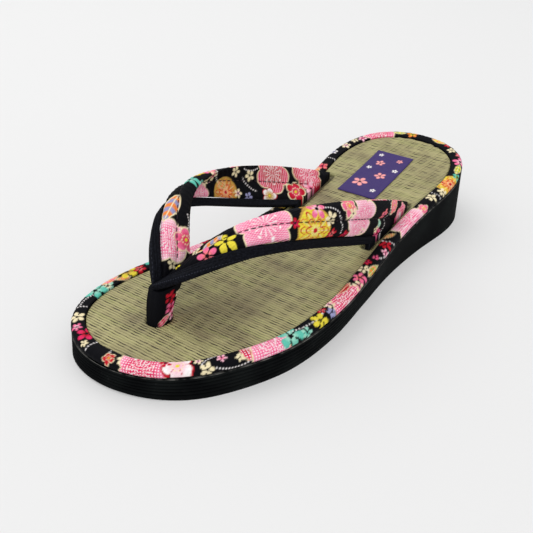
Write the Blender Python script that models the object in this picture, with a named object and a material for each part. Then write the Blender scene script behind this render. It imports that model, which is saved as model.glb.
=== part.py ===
"""Left-foot thong sandal with a rush-mat footbed, a cloth-wrapped border and a padded V strap.

The toe is at -Y, the heel at +Y, the outer side of the foot at +X, up is +Z, in metres.
The origin is on the floor, under the middle of the sole.
"""
import math

import bmesh
import bpy
import numpy as np

# Driving dimensions of the sole and footbed, in metres
LENGTH = 0.240
BALL_WIDTH = 0.0915
TOE_HEIGHT = 0.0095
HEEL_LIFT = 0.0218
END_FLARE = 0.0013
WALL_DRAFT = 0.0033
TOE_SPRING = 0.0010
TOE_SPRING_START = 0.82
FLARE_START = 0.55
RIB_DEPTH = 0.0008
BORDER_WIDTH = 0.0061
BORDER_RISE = 0.0040
MAT_THICKNESS = 0.0028

# Driving dimensions of the strap and toe post
STRAP_RISE = 0.045
STRAP_THICKNESS = 0.0050
BAND_THICKNESS = 0.0036
CROWN = 0.0025
SLOT_EDGE = 0.0020
SEAT_RISE = 0.0018
TAIL_PINCH = 0.2
POST_DEPTH = 0.0107
POST_WIDTH = 0.0086
POST_SETBACK = 0.25
POST_SQUARENESS = 0.6

# Label patch sewn on the heel of the mat
LABEL_WIDTH = 0.0215
LABEL_LENGTH = 0.0460
LABEL_THICKNESS = 0.0006
LABEL_TURN = math.radians(1.7)
LABEL_PLACE = (0.093, 0.589)

# Gap left between touching pieces, and as multiples of it the room between band and padded cloth and
# the room that the post's hole adds all round
GAP = 0.0003
BAND_ROOM = 2.4
HOLE_ROOM = 1.2

# The openings in the mat as multiples of what passes through, and how far their cutters reach past it
SLOT_STRETCH = 1.15
HOLE_DEPTH_STRETCH = 1.02
HOLE_WIDTH_STRETCH = 1.04
CUT_REACH = 0.004

# Counts
STATIONS = 40
RIBS = 5
LEG_STEPS = 12
POST_CORNERS = 20
POST_LEVELS = 9
LABEL_STRIPS = 12

# The ribbed part of the side wall as shares of its height, half a groove as a share of the rib pitch,
# and along the sole where the ribs have died out and the length over which they do
RIB_BAND = (0.14, 0.90)
GROOVE_HALF = 0.30
RIB_END = 0.05
RIB_FADE = 0.30
FOOT_BEVEL = (0.5, 0.05)

# Shares of the border's width and rise, run round its cross-section: inwards, up
BORDER_PROFILE = (
    (0.09, 0.00), (0.00, 0.25), (0.01, 0.56), (0.14, 0.86),
    (0.42, 1.00), (0.78, 0.97), (1.00, 0.84), (1.00, 0.00),
)

# Sole sections from toe to heel. Columns: place along the half length, then as shares of the ball
# width the middle line and the half width, as a share of the heel lift the top of the side wall,
# and as a share of the wall draft how far the wall leans in at the floor.
SOLE_ROWS = (
    (-1.00, -0.149, 0.487, 0.000, 0.00),
    (-0.80, -0.096, 0.500, 0.092, 0.25),
    (-0.55, -0.003, 0.507, 0.179, 0.70),
    (-0.30, 0.074, 0.459, 0.261, 0.96),
    (-0.05, 0.106, 0.400, 0.340, 1.00),
    (0.20, 0.102, 0.369, 0.435, 0.86),
    (0.45, 0.083, 0.381, 0.560, 0.55),
    (0.70, 0.075, 0.413, 0.729, 0.22),
    (1.00, 0.091, 0.410, 1.000, 0.00),
)
TOE_ROUNDNESS = 6.0
HEEL_ROUNDNESS = 8.0

# Control rows of the strap's two edges, from the toe post to the seat in the mat. Columns: across as a
# share of half the ball width, along as a share of the half length, height over the mat as a share of
# the strap's rise. The last row's place across is worked out from the mat's edge.
APEX_OUTER = (-0.230, -0.753, 0.375)
APEX_INNER = (-0.202, -0.566, 0.336)
LATERAL_OUTER = (
    APEX_OUTER,
    (0.222, -0.731, 0.605),
    (0.471, -0.599, 0.755),
    (0.594, -0.395, 0.628),
    (0.665, -0.165, 0.293),
)
LATERAL_INNER = (
    APEX_INNER,
    (0.125, -0.495, 0.933),
    (0.572, -0.337, 1.005),
    (0.850, -0.117, 0.814),
    (0.855, 0.151, 0.516),
)
MEDIAL_OUTER = (
    APEX_OUTER,
    (-0.482, -0.669, 0.751),
    (-0.788, -0.550, 0.837),
    (-0.884, -0.361, 0.580),
    (-0.711, -0.118, 0.208),
)
MEDIAL_INNER = (
    APEX_INNER,
    (-0.506, -0.445, 0.888),
    (-0.835, -0.276, 0.909),
    (-0.888, -0.052, 0.659),
    (-0.680, 0.212, 0.400),
)
LATERAL_SEAT = (0.073, 0.441)
MEDIAL_SEAT = (0.159, 0.479)

# Where the black edge band ends and the padded cloth begins. Columns: place along the leg, then as a
# share of the strap's width on the outer side of the foot and on the inner side.
BAND_SHARES = ((0.0, 0.26, 0.26), (0.3, 0.26, 0.21), (0.6, 0.25, 0.20), (1.0, 0.17, 0.16))

# Cloth section from the band to the inner edge: share of its width, half thickness above, below
PAD_ROWS = (
    (0.00, 0.22, 0.22), (0.05, 0.62, 0.42), (0.25, 1.00, 0.60), (0.43, 0.90, 0.60), (0.50, 0.70, 0.60),
    (0.57, 0.90, 0.60), (0.78, 1.00, 0.60), (0.94, 0.66, 0.44), (1.00, 0.20, 0.20),
)
# Band section from the outer edge to the cloth, with three raised ribs
BAND_ROWS = (
    (0.00, 0.45, 0.45), (0.10, 0.88, 0.80), (0.24, 1.05, 0.90), (0.36, 0.88, 0.90), (0.48, 1.05, 0.90),
    (0.60, 0.88, 0.90), (0.72, 1.05, 0.90), (0.86, 0.92, 0.90), (1.00, 0.60, 0.60),
)

# Toe post rows: share of its height, depth share at the front, depth share at the rear, width share
POST_ROWS = (
    (0.00, 0.00, 1.00, 0.92),
    (0.35, 0.02, 1.08, 0.96),
    (0.70, 0.12, 1.38, 1.08),
    (1.00, 0.25, 1.80, 1.25),
)

half_length = LENGTH / 2
half_ball = BALL_WIDTH / 2


def through(rows, column, s):
    """Smooth curve through one column of a table: cubic pieces with slopes from the neighbouring rows."""
    x = np.array([row[0] for row in rows])
    y = np.array([row[column] for row in rows])
    slope = np.gradient(y, x)
    k = np.clip(np.searchsorted(x, s, side="right") - 1, 0, len(x) - 2)
    width = x[k + 1] - x[k]
    u = (s - x[k]) / width
    start = (1 + 2 * u) * (1 - u) ** 2 * y[k] + u * (1 - u) ** 2 * width * slope[k]
    end = u * u * (3 - 2 * u) * y[k + 1] - u * u * (1 - u) * width * slope[k + 1]
    return start + end


def share(y):
    """Place along the sole as a share of the half length, -1 at the toe and 1 at the heel."""
    return np.clip(np.asarray(y, float) / half_length, -1, 1)


def wall_top(y):
    """Height of the black wall's top edge at a place along the sole."""
    return TOE_HEIGHT + HEEL_LIFT * through(SOLE_ROWS, 3, share(y))


def mat_top(y):
    return wall_top(y) + GAP + MAT_THICKNESS


def sole_bottom(y):
    """Height of the tread: flat on the floor, rising a little at the toe."""
    spring = np.clip((-share(y) - TOE_SPRING_START) / (1 - TOE_SPRING_START), 0, 1)
    return TOE_SPRING * spring ** 2


def side_edges(s):
    """The two sides of the sole's outline at a place s: the middle line plus and minus the half width."""
    roundness = np.where(s < 0, TOE_ROUNDNESS, HEEL_ROUNDNESS)
    rounding = np.sqrt(np.clip(1 - np.abs(s) ** roundness, 0, 1))
    middle = BALL_WIDTH * through(SOLE_ROWS, 1, s)
    half = BALL_WIDTH * through(SOLE_ROWS, 2, s) * rounding
    return middle + half, middle - half


def outline(inset=0.0):
    """Plan ring of the sole, up the outer side and back down the inner side, moved inwards by inset."""
    s = -np.cos(np.linspace(0, math.pi, STATIONS + 1))
    outer, inner = side_edges(s)
    y = s * half_length
    ring = np.vstack([np.column_stack([outer, y]), np.column_stack([inner, y])[-2:0:-1]])
    run = np.roll(ring, -1, 0) - np.roll(ring, 1, 0)
    run /= np.linalg.norm(run, axis=1)[:, None]
    outward = np.column_stack([run[:, 1], -run[:, 0]])
    return ring - outward * np.broadcast_to(inset, len(ring))[:, None]


def lift(ring, height):
    """Gives a plan ring its height, which is a function of the place along the sole."""
    return np.column_stack([ring, np.broadcast_to(height(ring[:, 1]), len(ring))])


def finish(name, points, faces, colour, roughness, smooth_angle=40):
    """Makes the object, shades it smooth below an angle and gives it its own material."""
    mesh = bpy.data.meshes.new(name)
    mesh.from_pydata([tuple(p) for p in points], [], faces)
    shell = bmesh.new()
    shell.from_mesh(mesh)
    bmesh.ops.recalc_face_normals(shell, faces=shell.faces)
    shell.to_mesh(mesh)
    shell.free()
    mesh.shade_smooth()
    mesh.set_sharp_from_angle(angle=math.radians(smooth_angle))
    material = bpy.data.materials.new(name)
    material.use_nodes = True
    shader = material.node_tree.nodes["Principled BSDF"]
    shader.inputs["Base Color"].default_value = (*colour, 1)
    shader.inputs["Roughness"].default_value = roughness
    shader.inputs["Metallic"].default_value = 0.0
    mesh.materials.append(material)
    made = bpy.data.objects.new(name, mesh)
    bpy.context.scene.collection.objects.link(made)
    return made


def walls(rings, around, closed=False):
    """Side faces between successive rings of equal length."""
    pairs = range(rings if closed else rings - 1)
    faces = []
    for k in pairs:
        low, high = k * around, (k + 1) % rings * around
        faces += [(low + i, low + (i + 1) % around, high + (i + 1) % around, high + i) for i in range(around)]
    return faces


def strip_cap(first, around, upwards):
    """Closes a sole ring with strips that run across the foot."""
    faces = []
    for j in range(around // 2):
        left, right = (around - j) % around, around - j - 1
        corners = [j, j + 1, right, left]
        corners = [c for n, c in enumerate(corners) if c not in corners[:n]]
        faces.append(tuple(first + c for c in (corners if upwards else corners[::-1])))
    return faces


def sole_solid(name, rings, colour, roughness, smooth_angle=40):
    """Solid from sole rings stacked upwards, closed with strips across the foot."""
    around = len(rings[0])
    faces = walls(len(rings), around) + strip_cap(0, around, False)
    faces += strip_cap((len(rings) - 1) * around, around, True)
    return finish(name, np.vstack(rings), faces, colour, roughness, smooth_angle)


def loft(name, rings, colour, roughness, smooth_angle=50):
    """Solid from rings of any place, closed by a face at each end."""
    around = len(rings[0])
    last = (len(rings) - 1) * around
    faces = walls(len(rings), around)
    faces += [tuple(range(around))[::-1], tuple(last + i for i in range(around))]
    return finish(name, np.vstack(rings), faces, colour, roughness, smooth_angle)


def make_outsole():
    """Black foam wedge with fine ribs round the forefoot."""
    plan = outline()
    draft = WALL_DRAFT * through(SOLE_ROWS, 4, share(plan[:, 1]))
    near_end = np.clip((np.abs(share(plan[:, 1])) - FLARE_START) / (1 - FLARE_START), 0, 1)
    flare = END_FLARE * near_end ** 2
    ribbed = np.clip((RIB_END - share(plan[:, 1])) / RIB_FADE, 0, 1)
    bevel, bevel_height = FOOT_BEVEL
    levels = [(0.0, bevel), (bevel_height, 0.0)]
    first, last = RIB_BAND
    pitch = (last - first) / RIBS
    for k in range(RIBS):
        middle = first + (k + 0.5) * pitch
        half = GROOVE_HALF * pitch
        levels += [(middle - half, 0.0), (middle, 1.0), (middle + half, 0.0)]
    levels.append((1.0, 0.0))
    rings = []
    for height, groove in levels:
        inwards = (draft - flare) * (1 - height) + groove * RIB_DEPTH * ribbed
        ring = outline(inwards)
        base, top = sole_bottom(ring[:, 1]), wall_top(ring[:, 1])
        rings.append(np.column_stack([ring, base + height * (top - base)]))
    return sole_solid("outsole", rings, (0.012, 0.013, 0.014), 0.62, 25)


def make_border():
    """Printed cloth rolled over the edge of the footbed, a closed ring round the mat."""
    rings = []
    for inwards, up in BORDER_PROFILE:
        ring = outline(inwards * BORDER_WIDTH)
        rings.append(lift(ring, lambda y: wall_top(y) + GAP + up * (BORDER_RISE - GAP)))
    faces = walls(len(rings), len(rings[0]), closed=True)
    return finish("border_wrap", np.vstack(rings), faces, (0.25, 0.05, 0.09), 0.8, 50)


def make_mat():
    """Woven rush mat inside the border, with the strap's slots and the post's hole cut through."""
    ring = outline(BORDER_WIDTH + GAP)
    rings = [lift(ring, lambda y: wall_top(y) + GAP), lift(ring, mat_top)]
    return sole_solid("rush_mat", rings, (0.42, 0.38, 0.20), 0.7)


def bezier(rows, t):
    """Point of the smooth curve steered by the rows, by repeated blending of neighbours."""
    points = np.array(rows, float)
    while len(points) > 1:
        points = points[:-1] * (1 - t) + points[1:] * t
    return points[0]


def seat_point(along, side):
    """Middle of the strap where it enters the mat, one slot edge inside the mat's rim."""
    outer, inner = side_edges(np.array([along]))
    rim = outer[0] if side > 0 else inner[0]
    inwards = BORDER_WIDTH + 2 * GAP + SLOT_EDGE + BAND_THICKNESS / 2
    return np.array([rim - side * inwards, along * half_length, mat_top(along * half_length) + SEAT_RISE])


def edge_rows(rows, along, side):
    """Turns shares into metres and adds the seat row."""
    made = []
    for across, place, rise in rows:
        y = place * half_length
        made.append((across * half_ball, y, mat_top(y) + rise * STRAP_RISE))
    return made + [tuple(seat_point(along, side))]


LEGS = {
    1: (edge_rows(LATERAL_OUTER, LATERAL_SEAT[0], 1), edge_rows(LATERAL_INNER, LATERAL_SEAT[1], 1)),
    -1: (edge_rows(MEDIAL_OUTER, MEDIAL_SEAT[0], -1), edge_rows(MEDIAL_INNER, MEDIAL_SEAT[1], -1)),
}


def leg_frame(side, t):
    """Outer and inner edge points, the strap's upward normal and how square its section lies to its run."""
    outer_rows, inner_rows = LEGS[side]
    outer, inner = bezier(outer_rows, t), bezier(inner_rows, t)
    if t == 0:
        normal = np.array([0.0, outer[2] - inner[2], inner[1] - outer[1]])
        return outer, inner, normal / np.linalg.norm(normal), 1.0
    ahead, behind = min(t + 0.02, 1.0), t - 0.02
    run = bezier(outer_rows, ahead) + bezier(inner_rows, ahead)
    run -= bezier(outer_rows, behind) + bezier(inner_rows, behind)
    across = inner - outer
    normal = np.cross(run, across) * side
    square = np.linalg.norm(normal) / np.linalg.norm(run) / np.linalg.norm(across)
    return outer, inner, normal / np.linalg.norm(normal), square


def strap_section(side, t, rows, start, end, thickness, trim=0.0, grow=0.0):
    """Closed loop across the strap between two shares of its width, top side first.

    trim holds back its outer side from the band, and grow widens the loop all round.
    """
    outer, inner, normal, square = leg_frame(side, t)
    width = np.linalg.norm(inner - outer)
    start, end = start + (trim / square - grow) / width, end + grow / width
    crown = CROWN * math.sin(math.pi * t) ** 2
    pinch = 1 - TAIL_PINCH * t ** 4
    top, under = [], []
    for place, above, below in rows:
        v = start + (end - start) * place
        middle = outer + (inner - outer) * v + normal * crown * 4 * v * (1 - v)
        top.append(middle + normal * (above * thickness / 2 * pinch + grow))
        under.append(middle - normal * (below * thickness / 2 * pinch + grow))
    return np.array(top + under[::-1])


def drop(section, height):
    """Moves a loop straight down to a height given as a function of the place along the sole."""
    low = section.copy()
    low[:, 2] = height(section[:, 1])
    return low


def band_share(side, t):
    """Share of the strap's width that the edge band takes at a place along one leg."""
    return float(through(BAND_SHARES, 1 if side > 0 else 2, t))


def strap_rings(section):
    """Sections from the outer side's tail over the toe post to the inner side's tail."""
    steps = np.linspace(0, 1, LEG_STEPS + 1)
    outer_leg = [section(1, t) for t in steps[::-1]]
    inner_leg = [section(-1, t) for t in steps]
    tail = [drop(outer_leg[0], lambda y: wall_top(y) + GAP)]
    heel = [drop(inner_leg[-1], lambda y: wall_top(y) + GAP)]
    return tail + outer_leg + inner_leg[1:] + heel


def make_strap():
    """Padded cloth strap: a V of two legs in one piece, with a sewn channel down the middle."""
    def section(side, t):
        return strap_section(side, t, PAD_ROWS, band_share(side, t), 1.0, STRAP_THICKNESS, BAND_ROOM * GAP)
    return loft("strap_upper", strap_rings(section), (0.30, 0.07, 0.12), 0.8)


def make_band():
    """Black ribbed band along the strap's outer edges, meeting over the toe post."""
    def section(side, t):
        return strap_section(side, t, BAND_ROWS, 0.0, band_share(side, t), BAND_THICKNESS)
    return loft("edge_band", strap_rings(section), (0.015, 0.016, 0.020), 0.75)


def post_axis():
    """Front point and backward direction of the toe post in plan."""
    front = np.array(LEGS[1][0][0])[:2]
    rear = np.array(LEGS[1][1][0])[:2]
    return front, (rear - front) / np.linalg.norm(rear - front)


def underside(back):
    """Height of the strap's underside over the toe post, a distance back from its front edge."""
    outer, inner = np.array(LEGS[1][0][0]), np.array(LEGS[1][1][0])
    slope = (inner[2] - outer[2]) / np.linalg.norm((inner - outer)[:2])
    return outer[2] + slope * back - BAND_THICKNESS / 2


def post_ring(height, front_share, rear_share, width_share, grow=0.0):
    """Rounded loop of the toe post at one share of its height, square-shouldered like folded cloth."""
    start, along = post_axis()
    start = start - along * POST_SETBACK * POST_DEPTH
    across = np.array([along[1], -along[0]])
    front, rear = front_share * POST_DEPTH - grow, rear_share * POST_DEPTH + grow
    half = width_share * POST_WIDTH / 2 + grow
    angle = np.linspace(0, 2 * math.pi, POST_CORNERS, endpoint=False)
    round_x = np.sign(np.sin(angle)) * np.abs(np.sin(angle)) ** POST_SQUARENESS
    round_y = -np.sign(np.cos(angle)) * np.abs(np.cos(angle)) ** POST_SQUARENESS
    back = (front + rear) / 2 + round_y * (rear - front) / 2
    plan = start + np.outer(back, along) + np.outer(round_x * half, across)
    low = wall_top(plan[:, 1]) + GAP
    high = underside(back - POST_SETBACK * POST_DEPTH) - GAP
    return np.column_stack([plan, low + (high - low) * height])


def make_post():
    """Toe post between mat and strap, narrow at the mat and deeper under the strap."""
    rings = []
    for height in np.linspace(0, 1, POST_LEVELS):
        front, rear, width = (float(through(POST_ROWS, column, height)) for column in (1, 2, 3))
        rings.append(post_ring(height, front, rear, width))
    return loft("toe_post", rings, (0.02, 0.02, 0.025), 0.8)


def through_mat(name, loop):
    """Closed tool that cuts a loop straight through the mat and isn't part of the sandal."""
    low = drop(loop, lambda y: wall_top(y) - CUT_REACH)
    high = drop(loop, lambda y: mat_top(y) + CUT_REACH)
    tool = loft(name, [low, high], (0.5, 0.5, 0.5), 0.5)
    tool.hide_render = True
    tool.display_type = "WIRE"
    return tool


def cut(target, tool):
    step = target.modifiers.new(tool.name, "BOOLEAN")
    step.operation = "DIFFERENCE"
    step.solver = "EXACT"
    step.object = tool


def cut_mat(mat):
    """Cuts the two strap slots and the post's hole, each one gap larger than what passes through."""
    for side, name in ((1, "slot_outer_side"), (-1, "slot_inner_side")):
        loop = strap_section(side, 1.0, BAND_ROWS, 0.0, 1.0, STRAP_THICKNESS * SLOT_STRETCH, grow=GAP)
        cut(mat, through_mat(name, loop))
    _, front, rear, width = POST_ROWS[0]
    foot = post_ring(0.0, front, rear * HOLE_DEPTH_STRETCH, width * HOLE_WIDTH_STRETCH, HOLE_ROOM * GAP)
    cut(mat, through_mat("post_hole", foot))


def make_label():
    """Thin cloth patch on the heel of the mat, following the mat's slope."""
    across, along = LABEL_PLACE
    centre = np.array([across * half_ball, along * half_length])
    cosine, sine = math.cos(LABEL_TURN), math.sin(LABEL_TURN)
    turn = np.array([[cosine, -sine], [sine, cosine]])
    rings = []
    for step in np.linspace(-0.5, 0.5, LABEL_STRIPS + 1):
        ends = np.array([[-LABEL_WIDTH / 2, step * LABEL_LENGTH], [LABEL_WIDTH / 2, step * LABEL_LENGTH]])
        plan = ends @ turn.T + centre
        low = np.column_stack([plan, mat_top(plan[:, 1]) + GAP])
        high = low[::-1] + (0, 0, LABEL_THICKNESS)
        rings.append(np.vstack([low, high])[::-1])
    return loft("label_patch", rings, (0.05, 0.035, 0.14), 0.7, 30)


def build():
    for old in list(bpy.data.objects):
        bpy.data.objects.remove(old, do_unlink=True)
    make_outsole()
    make_border()
    cut_mat(make_mat())
    make_strap()
    make_band()
    make_post()
    make_label()


build()
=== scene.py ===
"""Left thong sandal: ribbed foam wedge, printed cloth border, rush mat, padded printed strap with a
black ribbed band, a cloth toe post and a patch sewn on at the heel.

The toe is at -Y, the heel at +Y, the outer side of the foot at +X, up is +Z, in metres.
"""

import math

import bmesh
import bpy
import numpy as np
from mathutils import Matrix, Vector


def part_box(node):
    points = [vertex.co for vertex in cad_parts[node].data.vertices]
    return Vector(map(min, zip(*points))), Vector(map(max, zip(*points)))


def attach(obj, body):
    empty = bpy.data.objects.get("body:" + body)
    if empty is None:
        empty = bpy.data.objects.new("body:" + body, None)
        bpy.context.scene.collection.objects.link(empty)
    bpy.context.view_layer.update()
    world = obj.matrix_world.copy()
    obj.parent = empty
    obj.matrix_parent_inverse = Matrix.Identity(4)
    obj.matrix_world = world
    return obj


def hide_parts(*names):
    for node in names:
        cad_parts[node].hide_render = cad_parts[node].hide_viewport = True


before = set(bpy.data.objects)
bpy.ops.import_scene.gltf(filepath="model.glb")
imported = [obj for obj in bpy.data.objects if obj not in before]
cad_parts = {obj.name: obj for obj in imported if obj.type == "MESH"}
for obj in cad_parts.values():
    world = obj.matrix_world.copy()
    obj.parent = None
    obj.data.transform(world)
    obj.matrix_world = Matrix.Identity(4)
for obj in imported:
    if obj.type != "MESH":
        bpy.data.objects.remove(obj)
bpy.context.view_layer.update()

# Outsole: one moulding of soft black foam, thin at the toe and thick at the heel. The mould leaves
# fine ribs round the forefoot and shallow grooves across the tread, and a pale glue line runs round the top
# of the wall.
BORDER_LOW, BORDER_HIGH = (np.array(corner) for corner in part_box("border_wrap"))
HALF_LENGTH = (BORDER_HIGH[1] - BORDER_LOW[1]) / 2
BALL_WIDTH = 0.0915
TOE_HEIGHT = 0.0095
HEEL_LIFT = 0.0218
END_FLARE = 0.0013
FLARE_START = 0.55
WALL_DRAFT = 0.0033
TOE_SPRING = 0.0010
TOE_SPRING_START = 0.82
GAP = 0.0003
RIBS = 5
RIB_DEPTH = 0.0008
RIB_BAND = (0.14, 0.90)
GROOVE_HALF = 0.30
RIB_END = 0.05
RIB_FADE = 0.30
TREAD_PITCH = 0.0070
TREAD_DEPTH = 0.0006
TREAD_EASE = 8
TREAD_STEEPNESS = 1.4
SOLE_STATIONS = 300
TREAD_RINGS = 12
WALL_RINGS = 56
TOP_RINGS = 5
LIP_START = 0.965
FOAM_BLACK = (0.0022, 0.0026, 0.0030)
FOAM_WORN = (0.0065, 0.0080, 0.0080)
GLUE_LINE = (0.30, 0.29, 0.27)
DUST = (0.05, 0.05, 0.05)
WELD = 1e-7

# Sole sections from toe to heel, set on the outline in the photograph. Columns: place along the half
# length, then as shares of the ball width the middle line and the half width, as a share of the heel
# lift the top of the side wall, and as a share of the wall draft how far the wall leans in at the floor.
SOLE_ROWS = (
    (-1.00, -0.149, 0.487, 0.000, 0.00),
    (-0.80, -0.096, 0.500, 0.092, 0.25),
    (-0.55, -0.003, 0.507, 0.179, 0.70),
    (-0.30, 0.074, 0.459, 0.261, 0.96),
    (-0.05, 0.106, 0.400, 0.340, 1.00),
    (0.20, 0.102, 0.369, 0.435, 0.86),
    (0.45, 0.083, 0.381, 0.560, 0.55),
    (0.70, 0.075, 0.413, 0.729, 0.22),
    (1.00, 0.091, 0.410, 1.000, 0.00),
)
TOE_ROUNDNESS = 6.0
HEEL_ROUNDNESS = 8.0


def through(rows, column, s):
    """Smooth curve through one column of a table: cubic pieces with slopes from the neighbouring rows."""
    x = np.array([row[0] for row in rows])
    y = np.array([row[column] for row in rows])
    slope = np.gradient(y, x)
    k = np.clip(np.searchsorted(x, s, side="right") - 1, 0, len(x) - 2)
    width = x[k + 1] - x[k]
    u = (s - x[k]) / width
    start = (1 + 2 * u) * (1 - u) ** 2 * y[k] + u * (1 - u) ** 2 * width * slope[k]
    end = u * u * (3 - 2 * u) * y[k + 1] - u * u * (1 - u) * width * slope[k + 1]
    return start + end


def share(y):
    """Place along the sole as a share of the half length, -1 at the toe and 1 at the heel."""
    return np.clip(y / HALF_LENGTH, -1, 1)


def wall_top(y):
    """Height of the black wall's top edge at a place along the sole."""
    return TOE_HEIGHT + HEEL_LIFT * through(SOLE_ROWS, 3, share(y))


def middle_line(y):
    """Where the sole's middle line runs, across the foot, at a place along it."""
    return BALL_WIDTH * through(SOLE_ROWS, 1, share(y))


def smooth(value):
    """Eased step: 0 below 0, 1 above 1, level at both ends."""
    value = np.clip(value, 0, 1)
    return value * value * (3 - 2 * value)


def unit(vectors):
    """Each vector divided by its own length."""
    return vectors / np.maximum(np.linalg.norm(vectors, axis=-1, keepdims=True), 1e-12)


def sole_rim(stations):
    """Plan ring of the sole and its outward directions: the middle line plus and minus the half width,
    which is rounded off to nothing at both ends by a high power of the place along the sole."""
    s = -np.cos(np.linspace(0, math.pi, stations + 1))
    roundness = np.where(s < 0, TOE_ROUNDNESS, HEEL_ROUNDNESS)
    half = BALL_WIDTH * through(SOLE_ROWS, 2, s) * np.sqrt(np.clip(1 - np.abs(s) ** roundness, 0, 1))
    middle = BALL_WIDTH * through(SOLE_ROWS, 1, s)
    outer = np.column_stack([middle + half, s * HALF_LENGTH])
    inner = np.column_stack([middle - half, s * HALF_LENGTH])
    ring = np.vstack([outer, inner[-2:0:-1]])
    run = unit(np.roll(ring, -1, 0) - np.roll(ring, 1, 0))
    return ring, np.column_stack([run[:, 1], -run[:, 0]])


def finish_mesh(name, mesh, turn_outwards=False):
    """Welds the points that coincide, shades the surface smoothly and puts the piece in the scene."""
    shell = bmesh.new()
    shell.from_mesh(mesh)
    bmesh.ops.remove_doubles(shell, verts=shell.verts, dist=WELD)
    if turn_outwards:
        bmesh.ops.recalc_face_normals(shell, faces=shell.faces)
    shell.to_mesh(mesh)
    shell.free()
    mesh.shade_smooth()
    made = bpy.data.objects.new(name, mesh)
    bpy.context.scene.collection.objects.link(made)
    return made


def make_piece(name, points, cloth_map=None, paint=None, loop_rows=False, sharp=50):
    """Closed surface over a grid whose last column joins its first. Its faces are turned outwards by
    the sign of the volume they enclose, and pinched ends are welded."""
    rows, columns = points.shape[:2]
    index = np.arange(rows * columns).reshape(rows, columns)
    index = np.hstack([index, index[:, :1]])
    if loop_rows:
        index = np.vstack([index, index[:1]])

    def corners_of(grid):
        corners = (grid[:-1, :-1], grid[:-1, 1:], grid[1:, 1:], grid[1:, :-1])
        return np.stack(corners, 2).reshape(-1, 4, *grid.shape[2:])

    faces = corners_of(index)
    a, b, c, d = (points.reshape(-1, 3)[faces[:, k]] for k in range(4))
    inside_out = np.sum(a * (np.cross(b, c) + np.cross(c, d))) < 0
    if inside_out:
        faces = faces[:, ::-1]
    mesh = bpy.data.meshes.new(name)
    mesh.from_pydata(points.reshape(-1, 3).tolist(), [], faces.tolist())
    if cloth_map is not None:
        marks = corners_of(cloth_map)
        marks = marks[:, ::-1] if inside_out else marks
        mesh.uv_layers.new(name="cloth").uv.foreach_set("vector", marks.astype(np.float32).ravel())
    if paint is not None:
        layer = mesh.color_attributes.new("paint", "FLOAT_COLOR", "POINT")
        layer.data.foreach_set("color", paint.astype(np.float32).ravel())
    made = finish_mesh(name, mesh)
    mesh.set_sharp_from_angle(angle=math.radians(sharp))
    return made


class Wire:
    """A socket in a material. Sums on wires add Math nodes, and make() adds any other node."""

    def __init__(self, tree, socket=None):
        self.tree, self.socket = tree, socket

    def make(self, kind, output, settings, sockets):
        """Adds a node, with its settings set first and then the values or wires of its sockets."""
        node = self.tree.nodes.new(kind)
        for name, value in settings.items():
            setattr(node, name, value)
        for name, value in sockets.items():
            if isinstance(value, Wire):
                self.tree.links.new(value.socket, node.inputs[name])
            else:
                node.inputs[name].default_value = value
        return Wire(self.tree, node.outputs[output])

    def other(self, output):
        """Another output of the same node."""
        return Wire(self.tree, self.socket.node.outputs[output])

    def sum(self, operation, *values):
        """A Math node on the values, which are wires or numbers."""
        return self.make("ShaderNodeMath", 0, {"operation": operation}, dict(enumerate(values)))

    def __add__(self, value):
        return self.sum("ADD", self, value)

    def __sub__(self, value):
        return self.sum("SUBTRACT", self, value)

    def __rsub__(self, value):
        return self.sum("SUBTRACT", value, self)

    def __mul__(self, value):
        return self.sum("MULTIPLY", self, value)

    __radd__, __rmul__ = __add__, __mul__

    def between(self, low, high):
        """0 below low, 1 above high, eased between."""
        return self.make("ShaderNodeMapRange", 0, {"interpolation_type": "SMOOTHSTEP"},
                         {"Value": self, "From Min": low, "From Max": high})

    def blend(self, first, second):
        """Colour from first to second as this wire goes from 0 to 1."""
        first, second = ((*c, 1) if isinstance(c, tuple) else c for c in (first, second))
        return self.make("ShaderNodeMix", 2, {"data_type": "RGBA"}, {0: self, 6: first, 7: second})

    def noise(self, place, scale, detail=2.0):
        """Soft random cloud between 0 and 1, scale lumps to the metre."""
        return self.make("ShaderNodeTexNoise", 0, {}, {"Vector": place, "Scale": scale, "Detail": detail})

    def bump(self, height, strength, distance):
        """Surface normal that makes the height seem to stand up by the distance."""
        return self.make("ShaderNodeBump", 0, {},
                         {"Height": height, "Strength": strength, "Distance": distance})


def new_material(name, roughness, gloss=0.12, sheen=0.0):
    """Material of one finish: itself, its shader, a wire to build on, and its Object coordinates."""
    material = bpy.data.materials.new(name)
    material.use_nodes = True
    shader = material.node_tree.nodes["Principled BSDF"]
    shader.inputs["Roughness"].default_value = roughness
    shader.inputs["Specular IOR Level"].default_value = gloss
    shader.inputs["Sheen Weight"].default_value = sheen
    wire = Wire(material.node_tree)
    return material, shader, wire, wire.make("ShaderNodeTexCoord", "Object", {}, {})


def feed(shader, **wires):
    """Joins wires to the shader's sockets, which are named with underscores for spaces."""
    for name, wire in wires.items():
        shader.id_data.links.new(wire.socket, shader.inputs[name.replace("_", " ")])


def dress(made, material, node):
    """Gives a piece its finish and its place on the sandal, in place of the plain solid."""
    made.data.materials.append(material)
    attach(made, "root")
    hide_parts(node)


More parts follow.
